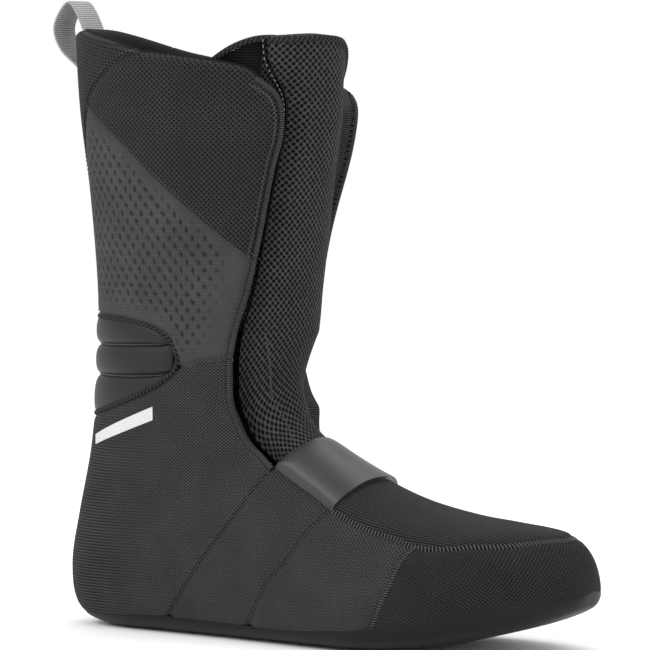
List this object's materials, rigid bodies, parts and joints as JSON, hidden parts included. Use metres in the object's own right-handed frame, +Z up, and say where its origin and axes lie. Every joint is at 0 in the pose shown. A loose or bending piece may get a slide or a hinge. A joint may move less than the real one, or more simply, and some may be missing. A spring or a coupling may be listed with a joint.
{
  "type": "snowboard boot liner",
  "caption": "Right inner boot of a soft snowboard boot: padded shaft with opening flaps and tongue, ribbed Achilles flex zone, rounded toe, cupped sole and rear pull loop.",
  "frame": {"origin": "on the flat of the sole, on the boot's centre line, 130 mm in front of the back of the heel", "axes": "+X towards the toe, +Z up, +Y towards the inner side of the foot"},
  "size_m": [0.2948, 0.1116, 0.3062],
  "materials": {
    "sole_coat": "satin rubber-coated sole sheet",
    "board_fibre": "matt fibre board",
    "bed_fabric": "brushed top cloth on foam",
    "quarter_mesh": "fine ribbed mesh laminated to foam",
    "stretch_knit": "matt fine rib knit",
    "coarse_mesh": "open sandwich mesh with staggered holes",
    "dimpled_jersey": "jersey with pressed dimples",
    "spacer_mesh": "spacer mesh with diamond holes",
    "leatherette": "smooth soft grain",
    "satin_band": "smooth satin stretch",
    "eva_foam": "closed cell foam",
    "lining_fabric": "brushed lining",
    "binding_tape": "folded edge tape",
    "webbing": "light grey ribbed webbing",
    "light_print": "plain light transfer"
  },
  "bodies": {
    "foot": {"outsole": "sole_coat", "lasting_board": "board_fibre", "footbed": "bed_fabric", "toe_cap": "quarter_mesh", "toe_foam": "eva_foam", "vamp": "stretch_knit", "vamp_foam": "eva_foam", "instep_band": "satin_band", "heel_mark": "light_print", "forefoot_panel_lateral": "quarter_mesh", "forefoot_foam_lateral": "eva_foam", "midfoot_panel_lateral": "quarter_mesh", "midfoot_foam_lateral": "eva_foam", "heel_quarter_lateral": "quarter_mesh", "heel_foam_lateral": "eva_foam", "throat_binding_lateral": "binding_tape", "forefoot_panel_medial": "quarter_mesh", "forefoot_foam_medial": "eva_foam", "midfoot_panel_medial": "quarter_mesh", "midfoot_foam_medial": "eva_foam", "heel_quarter_medial": "quarter_mesh", "heel_foam_medial": "eva_foam", "throat_binding_medial": "binding_tape"},
    "rib_lower": {"rib_lower": "leatherette"},
    "rib_middle": {"rib_middle": "leatherette"},
    "rib_upper": {"rib_upper": "leatherette"},
    "shaft": {"spine_panel": "stretch_knit", "spine_foam": "eva_foam", "spine_lining": "lining_fabric", "loop_tail": "webbing", "side_panel_lateral": "dimpled_jersey", "upper_side_lateral": "coarse_mesh", "side_foam_lateral": "eva_foam", "side_lining_lateral": "lining_fabric", "shaft_binding_lateral": "binding_tape", "tongue_gusset_lateral": "stretch_knit", "side_panel_medial": "dimpled_jersey", "upper_side_medial": "coarse_mesh", "side_foam_medial": "eva_foam", "side_lining_medial": "lining_fabric", "shaft_binding_medial": "binding_tape", "tongue_gusset_medial": "stretch_knit"},
    "flap_lateral": {"flap_face_lateral": "coarse_mesh", "flap_foam_lateral": "eva_foam", "flap_lining_lateral": "lining_fabric", "flap_binding_lateral": "binding_tape"},
    "flap_medial": {"flap_face_medial": "coarse_mesh", "flap_foam_medial": "eva_foam", "flap_lining_medial": "lining_fabric", "flap_binding_medial": "binding_tape"},
    "tongue_root": {"tongue_root_face": "spacer_mesh", "tongue_root_foam": "eva_foam"},
    "tongue": {"tongue_face": "spacer_mesh", "tongue_foam": "eva_foam", "tongue_lining": "lining_fabric", "tongue_binding": "binding_tape"},
    "pull_loop": {"pull_loop": "webbing"}
  },
  "joints": [
    {"name": "ankle_flex", "type": "hinge", "parent": "foot", "child": "shaft", "pos_m": [-0.035, 0, 0.1347], "axis": [0, 1, 0], "range_deg": [0, 12], "stiffness_Nm_per_rad": 4},
    {"name": "rib_lower_flex", "type": "hinge", "parent": "foot", "child": "rib_lower", "pos_m": [-0.035, 0, 0.1347], "axis": [0, 1, 0], "range_deg": [0, 3.1]},
    {"name": "rib_middle_flex", "type": "hinge", "parent": "foot", "child": "rib_middle", "pos_m": [-0.035, 0, 0.1347], "axis": [0, 1, 0], "range_deg": [0, 6.1]},
    {"name": "rib_upper_flex", "type": "hinge", "parent": "foot", "child": "rib_upper", "pos_m": [-0.035, 0, 0.1347], "axis": [0, 1, 0], "range_deg": [0, 9.1]},
    {"name": "flap_lateral_open", "type": "hinge", "parent": "shaft", "child": "flap_lateral", "pos_m": [-0.0359, -0.054, 0.2352], "axis": [0.4621, 0.0913, -0.8821], "range_deg": [0, 30], "stiffness_Nm_per_rad": 0.3},
    {"name": "flap_medial_open", "type": "hinge", "parent": "shaft", "child": "flap_medial", "pos_m": [-0.0359, 0.053, 0.2352], "axis": [-0.4621, 0.0913, 0.8821], "range_deg": [0, 30], "stiffness_Nm_per_rad": 0.3},
    {"name": "tongue_root_flex", "type": "hinge", "parent": "foot", "child": "tongue_root", "pos_m": [0.0115, 0, 0.0978], "axis": [0, 1, 0], "range_deg": [0, 10.3]},
    {"name": "tongue_fold", "type": "hinge", "parent": "tongue_root", "child": "tongue", "pos_m": [0.0045, 0, 0.1537], "axis": [0, 1, 0], "range_deg": [0, 30], "stiffness_Nm_per_rad": 0.5},
    {"name": "pull_loop_swing", "type": "hinge", "parent": "shaft", "child": "pull_loop", "pos_m": [-0.1232, 0, 0.2717], "axis": [0, -1, 0], "range_deg": [0, 30], "stiffness_Nm_per_rad": 0.05}
  ],
  "couplings": [
    {"joint": "rib_lower_flex", "follows": "ankle_flex", "ratio": 0.25},
    {"joint": "rib_middle_flex", "follows": "ankle_flex", "ratio": 0.5},
    {"joint": "rib_upper_flex", "follows": "ankle_flex", "ratio": 0.75},
    {"joint": "tongue_root_flex", "follows": "ankle_flex", "ratio": 0.85}
  ]
}
